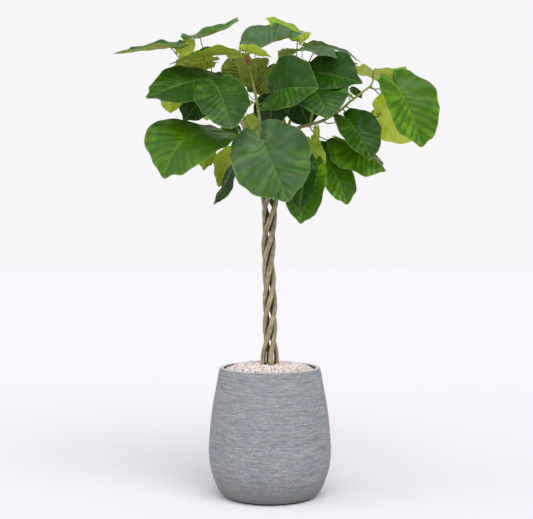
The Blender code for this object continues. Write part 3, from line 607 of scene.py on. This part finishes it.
# name, wood it grows on, height there, blade's base and tip in mm, azimuth and elevation
# that the upper side faces, width, fold of the halves, droop, fullness, age
LEAVES = [
    ("leaf_left_01", "stem_left", 1465, (-345, -80, 1575), (-540, -120, 1545),
     0, 74, 0.88, 12, 0, -0.6, "old"),
    ("leaf_left_02", "stem_left", 1540, (-245, -30, 1620), (-120, 110, 1720),
     0, 86, 0.75, 10, -0.05, 0.1, "mid"),
    ("leaf_left_03", "stem_left", 1540, (-315, -15, 1570), (-265, -35, 1610),
     180, 12, 0.7, 12, 0.04, 0.7, "young"),
    ("leaf_left_04", "stem_middle", 1510, (-150, -105, 1545), (-345, -155, 1500),
     0, 80, 0.85, 12, 0.05, 0.2, "mid"),
    ("leaf_left_05", "stem_left", 1485, (-230, 65, 1550), (-370, 35, 1490),
     180, 72, 0.8, 5, 0.08, 0, "mid"),
    ("leaf_left_06", "stem_left", 1415, (-210, -150, 1455), (-415, -210, 1380),
     0, 58, 0.95, 0, 0.05, 0.6, "old"),
    ("leaf_left_07", "stem_left", 1440, (-340, -110, 1430), (-345, -90, 1345),
     180, 5, 0.75, 5, 0.05, 1, "young"),
    ("leaf_left_08", "stem_left", 1400, (-230, 10, 1415), (-305, -20, 1325), 0, 40, 1, 5, 0.05, 0.3, "old"),
    ("leaf_left_09", "twig_left", 1225, (-210, -150, 1275), (-355, -220, 1110),
     -30, 32, 1.15, 5, 0.22, 1, "mid"),
    ("leaf_left_10", "stem_left", 1250, (-175, -275, 1410), (-120, -370, 1260),
     0, 30, 0.74, 5, 0.08, 1.3, "old"),
    ("leaf_left_11", "twig_left", 1230, (-215, -80, 1240), (-230, -90, 1145),
     180, 0, 0.6, 8, 0.05, 0.2, "mid"),
    ("leaf_left_12", "twig_left", 1230, (-140, -50, 1195), (-180, -100, 1090),
     232, 5, 0.75, 5, 0.05, 0.8, "young"),
    ("leaf_left_13", "twig_left", 1225, (-125, -90, 1160), (-195, -120, 1025),
     78, 5, 0.5, 8, 0.03, 0.3, "old"),
    ("leaf_front_01", "stem_right", 1145, (-25, -240, 1235), (60, -260, 1030),
     5, 12, 1.02, 8, 0.06, 0.7, "old"),
    ("leaf_front_02", "stem_middle", 1385, (15, -120, 1415), (160, -230, 1410),
     -28, 22, 1, 20, 0.1, 1.1, "old"),
    ("leaf_front_03", "stem_right", 1280, (140, -120, 1145), (105, -130, 960),
     -20, 0, 0.62, 8, 0.05, 0.9, "mid"),
    ("leaf_front_04", "stem_right", 1300, (150, -60, 1235), (165, -80, 1115),
     140, 5, 0.55, 10, 0.05, 0.8, "mid"),
    ("leaf_front_05", "stem_right", 1305, (195, -10, 1205), (275, -20, 1030),
     30, 5, 0.6, 5, 0.06, 1.2, "mid"),
    ("leaf_front_06", "stem_right", 1315, (165, -20, 1300), (165, -20, 1245),
     180, 0, 0.4, 20, 0.05, 0.5, "young"),
    ("leaf_front_07", "stem_middle", 1345, (10, 60, 1410), (0, 20, 1305), 0, 30, 1, 5, 0.05, 0.5, "old"),
    ("leaf_front_08", "twig_right", 1380, (105, 100, 1415), (140, 80, 1315), 0, 30, 1, 5, 0.05, 0.5, "old"),
    ("leaf_front_09", "stem_middle", 1455, (-15, 150, 1540), (-80, 120, 1450),
     180, 20, 1, 8, 0.05, 0.5, "old"),
    ("leaf_front_10", "stem_middle", 1405, (-105, 80, 1485), (-140, 110, 1600),
     180, 30, 0.95, 8, 0.05, 0.5, "old"),
    ("leaf_front_11", "stem_right", 1240, (125, -160, 1155), (100, -170, 995),
     -12, 5, 0.46, 8, 0.05, 0.5, "old"),
    ("leaf_top_01", "stem_middle", 1475, (-50, -40, 1580), (120, 0, 1640),
     0, 62, 1.08, 20, 0.03, -0.1, "old"),
    ("leaf_top_02", "stem_rear", 1520, (100, 80, 1665), (-15, 50, 1705),
     0, 52, 0.9, -10, 0.02, 0.6, "young"),
    ("leaf_top_03", "stem_rear", 1495, (85, -30, 1570), (230, -120, 1530), 0, 75, 0.9, 8, 0.08, 0.2, "old"),
    ("leaf_top_04", "stem_rear", 1545, (175, 80, 1610), (330, 40, 1540), 0, 86, 0.9, 5, 0.08, 0.2, "old"),
    ("leaf_top_05", "stem_rear", 1535, (110, 35, 1620), (150, 65, 1655),
     180, 45, 0.48, 5, 0.05, 0.5, "young"),
    ("leaf_top_06", "stem_middle", 1505, (-80, -150, 1555), (5, -170, 1525),
     180, 60, 0.5, 8, 0.05, 0.3, "young"),
    ("leaf_top_07", "stem_rear", 1475, (55, 60, 1585), (55, 40, 1535), 180, 20, 0.8, 8, 0.05, 0.5, "mid"),
    ("leaf_right_01", "twig_right", 1415, (160, -60, 1490), (320, -110, 1445),
     10, 25, 0.9, 18, 0.06, 0.1, "old"),
    ("leaf_right_02", "twig_right", 1370, (145, -110, 1430), (195, -210, 1310),
     8, 42, 1.1, 8, 0.1, 0.6, "old"),
    ("leaf_right_03", "stem_right", 1445, (445, -90, 1435), (525, -110, 1225),
     20, 12, 0.78, 18, 0.08, 1.1, "mid"),
    ("leaf_right_04", "stem_right", 1330, (275, -60, 1325), (350, -120, 1180),
     12, 22, 0.74, 20, 0.1, 0.9, "old"),
    ("leaf_right_05", "stem_right", 1315, (265, -20, 1255), (405, -60, 1145),
     36, 40, 0.95, -24, 0.05, 0.7, "mid"),
    ("leaf_right_06", "stem_right", 1470, (370, -20, 1505), (430, 170, 1475),
     150, 60, 0.85, 12, 0.05, 0.5, "young"),
    ("leaf_right_07", "stem_right", 1380, (395, -10, 1355), (485, 50, 1430),
     180, 20, 0.7, 10, 0.05, 0.5, "young"),
    ("leaf_right_08", "stem_right", 1370, (405, 60, 1340), (575, 90, 1295),
     180, 20, 0.75, 5, 0.1, 0.5, "young"),
    ("leaf_right_09", "stem_right", 1405, (280, -50, 1410), (230, -75, 1420),
     0, 50, 0.8, 10, 0.05, 0.3, "young"),
    ("leaf_right_10", "stem_right", 1395, (295, 0, 1440), (330, 10, 1410),
     0, 30, 0.6, 10, 0.05, 0.3, "old"),
    ("leaf_back_01", "twig_rear_left", 1365, (-130, 300, 1450), (-190, 440, 1400),
     190, 40, 0.95, 6, 0.12, 0.6, "old"),
    ("leaf_back_02", "twig_rear_left", 1315, (-30, 300, 1375), (-5, 390, 1250),
     175, 35, 0.95, 6, 0.12, 0.6, "old"),
    ("leaf_back_03", "twig_rear_right", 1380, (160, 280, 1440), (205, 430, 1415),
     170, 50, 0.95, 6, 0.12, 0.6, "old"),
    ("leaf_back_04", "twig_rear_right", 1315, (85, 270, 1295), (45, 360, 1180),
     185, 20, 0.95, 6, 0.12, 0.6, "mid"),
    ("leaf_back_05", "stem_rear", 1450, (115, 190, 1510), (90, 360, 1490),
     180, 55, 0.95, 6, 0.12, 0.6, "mid"),
    ("leaf_back_06", "stem_rear", 1385, (45, 220, 1510), (-15, 340, 1465),
     200, 50, 0.95, 6, 0.12, 0.6, "old"),
    ("leaf_back_07", "stem_left", 1450, (-240, 110, 1475), (-345, 270, 1480),
     225, 50, 0.95, 6, 0.12, 0.6, "old"),
    ("leaf_back_08", "stem_left", 1330, (-155, 130, 1385), (-240, 290, 1365),
     215, 40, 0.95, 6, 0.12, 0.6, "mid"),
    ("leaf_back_09", "stem_left", 1250, (-175, 60, 1290), (-290, 200, 1245),
     235, 30, 0.95, 6, 0.12, 0.6, "old"),
    ("leaf_back_10", "twig_right", 1405, (215, 130, 1545), (260, 290, 1530),
     160, 55, 0.95, 6, 0.12, 0.6, "old"),
    ("leaf_back_11", "stem_right", 1450, (480, 140, 1435), (540, 265, 1370),
     130, 30, 0.95, 6, 0.12, 0.6, "mid"),
]


def heart(theta, full):
    """Distance from stalk to margin, as a share of the length, at an angle off the midrib.

    A circle pushed towards the tip, with a short drip tip and a notch at the stalk.
    """
    a = np.abs(theta)
    mean, push, pinch = 0.54 + 0.045 * full, 0.27 + 0.045 * full, 0.05
    tip = 1 - mean - push - pinch
    notch = 0.27 * np.exp(-((math.pi - a) / 0.22) ** 2)
    return (mean + push * np.cos(a) + pinch * np.cos(2 * a)
            + tip * np.exp(-(a / 0.12) ** 2) - notch)


def vein_count(x, y):
    """A number that rises by one from each side vein to the next, from base to tip.

    The veins are half hyperbolas about the midrib, swept forward by four fifths of their
    distance from it, so they fan out round the stalk and run side by side further on.
    With d1 and d2 the distances to the midrib's ends, it is 9 ((1 + (d1 - d2) / 2) / 2)^0.7.
    """
    across = np.abs(y)
    forward = (x - 0.8 * across - 0.5) / 0.5
    near = np.hypot(forward + 1, across / 0.5)
    far = np.hypot(forward - 1, across / 0.5)
    share = np.clip((1 + (near - far) / 2) / 2, 0, 1)
    return SIDE_VEINS * share ** 0.7


def facing_vector(azimuth, elevation):
    az, el = math.radians(azimuth), math.radians(elevation)
    return np.array([math.sin(az) * math.cos(el), -math.cos(az) * math.cos(el), math.sin(el)])


def blade(base, tip, facing, width, fold, droop, full, puff, rng):
    """Points, faces and attributes of one blade, a closed thin shell in mm.

    In its own lengths, a point at r and theta of the heart is x = r cos theta along the
    midrib and y = r sin theta width beside it. It rises by 4 droop x (1 - x), by sin fold
    |y|, by waves of the edge that grow with r^2.5, by a puff between every two veins, and
    by uneven rucks, which are products of sines a seventh of the leaf long.
    """
    size = np.linalg.norm(tip - base)
    along = (tip - base) / size
    normal = unit(facing - (facing @ along) * along)
    side = np.cross(normal, along)
    turn = np.arange(SPOKES) * 2 * math.pi / SPOKES
    theta = turn - 0.45 * np.sin(2 * turn)
    theta = np.where(theta > math.pi, theta - 2 * math.pi, theta)
    grow = np.concatenate([np.linspace(0.05, 0.97, RINGS), [0.99, 1.0]])
    reach = np.concatenate([grow, grow[::-1]])[:, None]
    under = np.concatenate([np.ones(len(grow)), np.zeros(len(grow))])[:, None]
    phase = rng.uniform(0, 2 * math.pi, 5)
    calm = 1 - np.exp(-(theta / 0.25) ** 2)
    edge = 1 + calm * (0.020 * np.sin(6 * theta + phase[0]) + 0.013 * np.sin(13 * theta + phase[1])
                       + 0.009 * np.sin(21 * theta + phase[2]))
    r = heart(theta, full) * edge * reach
    x, y = r * np.cos(theta), r * np.sin(theta) * width
    across = np.sqrt(y**2 + 0.02**2) - 0.02
    bend = math.radians(fold)
    waves = (0.030 * np.sin(2 * theta + phase[3]) + 0.024 * np.sin(5 * theta + phase[2])
             + 0.016 * np.sin(8 * theta + phase[4]) + 0.008 * np.sin(15 * theta + phase[1])) * calm
    uneven = 0.20 * np.sin(5 * x + 3 * y + phase[0]) + 0.10 * np.sin(9 * x - 7 * y + phase[4])
    ruck = (np.sin(13 * x + 6 * y + phase[1]) * np.sin(15 * y - 5 * x + phase[2])
            + 0.6 * np.sin(22 * x - 9 * y + phase[3]) * np.sin(24 * y + phase[0]))
    count = vein_count(x, y) + uneven * np.minimum(1, np.abs(y) * 6) + 0.3 * (y > 0)
    step = 0.004
    slope = np.hypot(vein_count(x + step, y) - count, vein_count(x, np.abs(y) + step) - count) / step
    gap = size / np.maximum(slope, 0.5)
    swell = puff * np.minimum(gap, 30) / size * np.abs(np.cos(math.pi * count)) ** 0.5 + 0.007 * ruck
    swell = swell * smooth_step(reach, 0.05, 0.35) * (1 - 0.6 * smooth_step(reach, 0.85, 1.0))
    rib = -0.010 * np.exp(-(y / 0.02) ** 2) * smooth_step(reach, 0.0, 0.1) * (1 - smooth_step(x, 0.8, 1.0))
    rise = 4 * droop * x * (1 - x) + math.sin(bend) * across + waves * reach**2.5 + swell + rib
    lift = BLADE_THICKNESS / 2 * (1 - 2 * under) * (1 - 0.75 * smooth_step(reach, 0.9, 1.0))
    grid = (base + size * (x[..., None] * along + (y * math.cos(bend))[..., None] * side)
            + (size * rise + lift)[..., None] * normal)
    pole = BLADE_THICKNESS / 2
    points = np.vstack([base - pole * normal, grid.reshape(-1, 3), base + pole * normal])
    rows = len(reach)
    faces = [fan_faces(0, 1, SPOKES, False), grid_faces(rows, SPOKES, 1),
             fan_faces(len(points) - 1, 1 + (rows - 1) * SPOKES, SPOKES, True)]
    full_grid = np.ones((rows, SPOKES))
    flat = np.stack([x * size, y * size, 0 * x], axis=-1)
    sheets = {"vein_count": count, "vein_gap": gap, "beside_rib": np.abs(y) * size,
              "reach": reach * full_grid, "under": under * full_grid}
    attributes = {key: np.concatenate([v.ravel()[:1], v.ravel(), v.ravel()[-1:]])
                  for key, v in sheets.items()}
    attributes["flat"] = np.vstack([[0, 0, 0], flat.reshape(-1, 3), [0, 0, 0]])
    return points, faces, attributes, normal, along


def point_on(line, height):
    """The point, direction and radius of a stem or twig at a height."""
    path, radii = line
    heights = path[:, 2]
    point = np.array([np.interp(height, heights, column) for column in path.T])
    tangent = unit(np.gradient(path, axis=0))
    direction = unit(np.array([np.interp(height, heights, column) for column in tangent.T]))
    return point, direction, np.interp(height, heights, radii)


def stalk_line(line, height, base, arrive):
    """A cubic bow from the blade to the wood, square to the wood's side where it joins."""
    node, direction, radius = point_on(line, height)
    towards = base - node
    out = unit(towards - (towards @ direction) * direction)
    root = node + out * (radius + 0.5)
    length = np.linalg.norm(base - root)
    near_stem = root + out * length * 0.3
    near_blade = base - arrive * length * 0.3
    t = np.linspace(0, 1, 26)[:, None]
    bow = ((1 - t) ** 3 * base + 3 * (1 - t) ** 2 * t * near_blade
           + 3 * (1 - t) * t**2 * near_stem + t**3 * root)
    return np.vstack([bow, node + out * radius * 0.4])


def leaf_skin(name, upper, deep, vein, below, below_vein, shine):
    """Living leaf: waxed on top with sunk veins, dull and paler below with raised ones.

    Side veins are 1 to 2 mm wide, the midrib 3 mm, the net between them has meshes of
    7 mm. The blade's puffs between veins go on in the bump, 1 mm high. On top the sunk
    veins are darkened towards deep green, painted shade in their creases, and a leaf's
    tone goes deep green partly for the shade inside the crown. A painted sheen, silvery
    grey-green patches in the colour, lies on some of the oldest leaves.
    """
    material, tree, shader = new_material(name, Roughness=shine, IOR=1.45, Specular_IOR_Level=0.22)
    values = {key: add_node(tree, "Attribute", out="Fac", attribute_name=key)
              for key in ("vein_count", "vein_gap", "beside_rib", "reach", "under", "tone_and_shade", "painted_sheen")}
    flat = add_node(tree, "Attribute", out="Vector", attribute_name="flat")
    nearest = add_node(tree, "Math", {0: values["vein_count"], 1: 0.5}, operation="PINGPONG")
    nearest = add_node(tree, "Math", {0: 0.5, 1: nearest}, operation="SUBTRACT")
    lateral = add_node(tree, "Math", {0: nearest, 1: values["vein_gap"]}, operation="MULTIPLY")
    # vein lines: on top they darken towards deep green, painted shade in the creases of the sunk veins;
    # below they give the paler raised veins
    side_line = add_node(tree, "MapRange", {"Value": lateral, "From Min": 2.6, "From Max": 0.3})
    rib_line = add_node(tree, "MapRange", {"Value": values["beside_rib"], "From Min": 2.8, "From Max": 0.7})
    line = add_node(tree, "Math", {0: side_line, 1: rib_line}, operation="MAXIMUM")
    net = add_node(tree, "TexVoronoi", {"Vector": flat, "Scale": 0.14, "Randomness": 0.9},
                   feature="DISTANCE_TO_EDGE")
    net_line = add_node(tree, "MapRange", {"Value": net, "From Min": 0.12, "From Max": 0.02})
    mottle = add_node(tree, "TexNoise", {"Vector": flat, "Scale": 0.022, "Detail": 3.0})
    band = add_node(tree, "VectorMath", {0: flat, 1: (0.012, 0.012, 0.0)}, operation="MULTIPLY")
    band = add_node(tree, "CombineXYZ", {"X": values["vein_count"], "Y": band})
    band = add_node(tree, "TexNoise", {"Vector": band, "Scale": 1.6, "Detail": 2.0})
    # painted sheen: silvery grey-green patches in irregular bands along the veins, as much as each leaf is
    # given
    sheen_patch = add_node(tree, "Math", {0: band, 1: values["painted_sheen"]}, operation="MULTIPLY")
    puffed = add_node(tree, "MapRange", {"Value": nearest, "From Min": 0.05, "From Max": 0.42},
                      interpolation_type="SMOOTHSTEP")
    top = linear_rgb(upper)
    bottom = linear_rgb(below)
    # painted shade: a leaf's tone takes both its sides towards deep green, partly for its own darker colour
    # and partly for the shade inside the crown
    for source, low, high, most, tint in (
            (mottle, 0.42, 0.64, 0.45, deep), (band, 0.46, 0.62, 0.45, deep),
            (values["tone_and_shade"], 0.0, 1.0, 1.0, deep), (line, 0.0, 1.0, 0.8, deep),
            (sheen_patch, 0.15, 0.65, 0.55, "#869f7c"), (rib_line, 0.3, 1.0, 0.35, vein),
            (values["reach"], 0.97, 1.0, 0.35, vein)):
        amount = add_node(tree, "MapRange", {"Value": source, "From Min": low,
                                             "From Max": high, "To Max": most})
        top = add_node(tree, "Mix", {0: amount, 6: top, 7: linear_rgb(tint)}, data_type="RGBA")
    for source, low, high, most, tint in (
            (mottle, 0.40, 0.68, 0.25, deep), (values["tone_and_shade"], 0.3, 1.0, 0.9, deep),
            (net_line, 0.0, 1.0, 0.25, below_vein), (line, 0.0, 1.0, 0.45, below_vein)):
        amount = add_node(tree, "MapRange", {"Value": source, "From Min": low,
                                             "From Max": high, "To Max": most})
        bottom = add_node(tree, "Mix", {0: amount, 6: bottom, 7: linear_rgb(tint)}, data_type="RGBA")
    colour = add_node(tree, "Mix", {0: values["under"], 6: top, 7: bottom}, data_type="RGBA")
    tree.links.new(colour, shader.inputs["Base Color"])
    rough = add_node(tree, "MapRange", {"Value": values["under"], "To Min": shine, "To Max": 0.6})
    tree.links.new(rough, shader.inputs["Roughness"])
    relief = add_node(tree, "Math", {0: net_line, 1: -0.12, 2: puffed}, operation="MULTIPLY_ADD")
    relief = add_node(tree, "Math", {0: line, 1: -0.35, 2: relief}, operation="MULTIPLY_ADD")
    bump = add_node(tree, "Bump", {"Strength": 0.6, "Distance": 0.0010, "Height": relief})
    tree.links.new(bump, shader.inputs["Normal"])
    return material


def leaf_stalk_skin():
    """Smooth green stalk: olive, satin, browner towards the wood, with lengthwise streaks."""
    material, tree, shader = new_material("green_leaf_stalk", Roughness=0.45)
    reach = add_node(tree, "Attribute", out="Fac", attribute_name="reach")
    place = add_node(tree, "TexCoord", out="Object")
    cloud = add_node(tree, "TexNoise", {"Vector": place, "Scale": 60.0, "Detail": 3.0})
    colour = linear_rgb("#8f9a44")
    for source, low, high, most, tint in ((cloud, 0.40, 0.65, 0.7, "#6f7a30"),
                                          (reach, 0.35, 1.0, 0.8, "#6b5a2c")):
        amount = add_node(tree, "MapRange", {"Value": source, "From Min": low,
                                             "From Max": high, "To Max": most})
        colour = add_node(tree, "Mix", {0: amount, 6: colour, 7: linear_rgb(tint)}, data_type="RGBA")
    tree.links.new(colour, shader.inputs["Base Color"])
    return material


LEAF_SKINS = {
    "old": leaf_skin("waxy_old_leaf", "#4a7b18", "#1c3f08", "#83a354", "#84a012", "#a8b84c", 0.28),
    "mid": leaf_skin("waxy_grown_leaf", "#68990f", "#2e5806", "#93ad50", "#a3c024", "#b9c95c", 0.30),
    "young": leaf_skin("soft_new_leaf", "#a4c410", "#6b9410", "#c0cc58", "#b9cf16", "#d0d862", 0.40),
}
# how far a leaf goes to its deep green, partly its own darker colour and partly painted shade for leaves
# inside the crown, and how much painted sheen lies on it in silvery patches
LEAF_TONE_SHADE_SHEEN = {
    "leaf_left_01": (0.0, 0.4), "leaf_left_02": (0.1, 0.0), "leaf_left_03": (0.0, 0.0),
    "leaf_left_04": (0.0, 0.0), "leaf_left_05": (0.0, 0.0), "leaf_left_06": (0.45, 0.3),
    "leaf_left_08": (0.9, 0.0), "leaf_left_09": (0.5, 0.0), "leaf_left_10": (0.35, 0.0),
    "leaf_left_13": (0.6, 0.0), "leaf_front_01": (0.25, 0.5), "leaf_front_02": (0.3, 0.0),
    "leaf_front_03": (0.0, 0.0), "leaf_front_04": (0.5, 0.0), "leaf_front_05": (0.3, 0.0),
    "leaf_front_07": (1.0, 0.0), "leaf_front_08": (1.0, 0.0), "leaf_front_09": (1.0, 0.0),
    "leaf_front_10": (1.0, 0.0), "leaf_front_11": (0.7, 0.0), "leaf_top_01": (0.3, 0.7),
    "leaf_top_02": (0.0, 0.0), "leaf_top_03": (0.5, 0.7), "leaf_top_04": (0.5, 0.4),
    "leaf_right_01": (0.5, 0.1), "leaf_right_02": (0.3, 0.0), "leaf_right_03": (0.1, 0.15),
    "leaf_right_04": (0.2, 0.1), "leaf_right_05": (0.2, 0.0),
}
PUFF = {"old": 0.060, "mid": 0.095, "young": 0.055}
stalk_skin = leaf_stalk_skin()


def make_leaf(row, seed):
    (name, wood, height, base, tip, azimuth, elevation, width, fold, droop, full, age) = row
    rng = np.random.default_rng(100 + seed)
    base, tip = np.array(base, float), np.array(tip, float)
    facing = facing_vector(azimuth, elevation)
    points, faces, attributes, normal, along = blade(
        base, tip, facing, width, fold, droop, full, PUFF[age], rng)
    slim = 0.65 if np.linalg.norm(tip - base) < SMALL_LEAF else 1.0
    arrive = unit(0.85 * normal + 0.5 * along)
    path = stalk_line(wood_lines[wood], height, base - BLADE_THICKNESS / 2 * normal, arrive)
    share = np.linspace(0, 1, len(path))
    radii = STALK_RADIUS * slim * (0.75 + 0.35 * share + 0.35 * np.exp(-share / 0.04)
                                   + 0.45 * smooth_step(share, 0.93, 1.0))
    rod, rod_faces, _ = tube(path, radii, 10)
    stalk_reach = np.concatenate([[0], np.repeat(share, 10), [1]])
    tone_and_shade, painted_sheen = LEAF_TONE_SHADE_SHEEN.get(name, (rng.uniform(0.2, 0.6), 0.0))
    for key, values in attributes.items():
        more = stalk_reach if key == "reach" else np.zeros((len(rod), *values.shape[1:]))
        attributes[key] = np.concatenate([values, more])
    attributes["tone_and_shade"] = np.full(len(points) + len(rod), tone_and_shade)
    attributes["painted_sheen"] = np.full(len(points) + len(rod), painted_sheen)
    blade_faces = sum(len(part) for part in faces)
    rod_count = sum(len(part) for part in rod_faces)
    material_of = np.repeat([0, 1], [blade_faces, rod_count])
    faces = faces + [part + len(points) for part in rod_faces]
    leaf = make_piece(name + "_blade", np.vstack([points, rod]) * MM, faces,
                      [LEAF_SKINS[age], stalk_skin], attributes, material_of)
    stand_for(leaf, name)


for leaf_seed, leaf_row in enumerate(LEAVES):
    make_leaf(leaf_row, leaf_seed)


# Studio. A pale floor that runs out to the horizon under a sky that is pale low down and
# dim overhead, with a broad soft key light from the upper right in front and a weaker fill.

FLOOR_RADIUS = 30.0
SKY_SHADE = "#f8f6f9"
ZENITH_SHADE = "#9c9da2"
FLOOR_SHADE = "#efecf1"


def studio_floor():
    material, _, _ = new_material("matt_white_floor", Base_Color=linear_rgb(FLOOR_SHADE),
                                  Roughness=0.9, Specular_IOR_Level=0.0)
    a = np.arange(96) * 2 * math.pi / 96
    rings = [np.stack([r * np.cos(a), r * np.sin(a), 0 * a], axis=1) for r in (1.5, 6.0, FLOOR_RADIUS)]
    points = np.vstack([[(0, 0, 0)], *rings])
    faces = [fan_faces(0, 1, 96, True)] + [grid_faces(3, 96, 1)[:, ::-1]]
    make_piece("studio_floor", points, faces, [material])


def studio_light():
    world = bpy.data.worlds.new("pale_studio")
    world.use_nodes = True
    tree = world.node_tree
    direction = add_node(tree, "TexCoord", out="Generated")
    height = add_node(tree, "SeparateXYZ", {"Vector": direction}, out="Z")
    amount = add_node(tree, "MapRange", {"Value": height, "From Min": 0.34, "From Max": 0.62},
                      interpolation_type="SMOOTHSTEP")
    sky = add_node(tree, "Mix", {0: amount, 6: linear_rgb(SKY_SHADE), 7: linear_rgb(ZENITH_SHADE)},
                   data_type="RGBA")
    tree.links.new(sky, tree.nodes["Background"].inputs["Color"])
    bpy.context.scene.world = world
    for name, strength, spread, tilt, turn in (("broad_key", 1.75, 50, 40, 24), ("fill", 0.95, 70, 46, -52)):
        sun = bpy.data.lights.new(name, "SUN")
        sun.energy = strength
        sun.angle = math.radians(spread)
        light = bpy.data.objects.new(name, sun)
        light.rotation_euler = (math.radians(tilt), 0.0, math.radians(turn))
        bpy.context.scene.collection.objects.link(light)


studio_floor()
studio_light()


# Camera. At eye height of the pot's lip and the crown's foot alike, square to the plant;
# the small shift centres the frame as the picture does.

camera_data = bpy.data.cameras.new("camera")
camera_data.sensor_width = 36.0
camera_data.lens = 36.0 * 1026 / 533
camera_data.shift_x = -3.4 / 533
camera_data.shift_y = -17.0 / 533
camera = bpy.data.objects.new("camera", camera_data)
camera.location = (0.0, -3.65, 0.896)
camera.rotation_euler = (math.radians(90), 0.0, 0.0)
bpy.context.scene.collection.objects.link(camera)
bpy.context.scene.camera = camera
bpy.context.scene.view_settings.view_transform = "Standard"
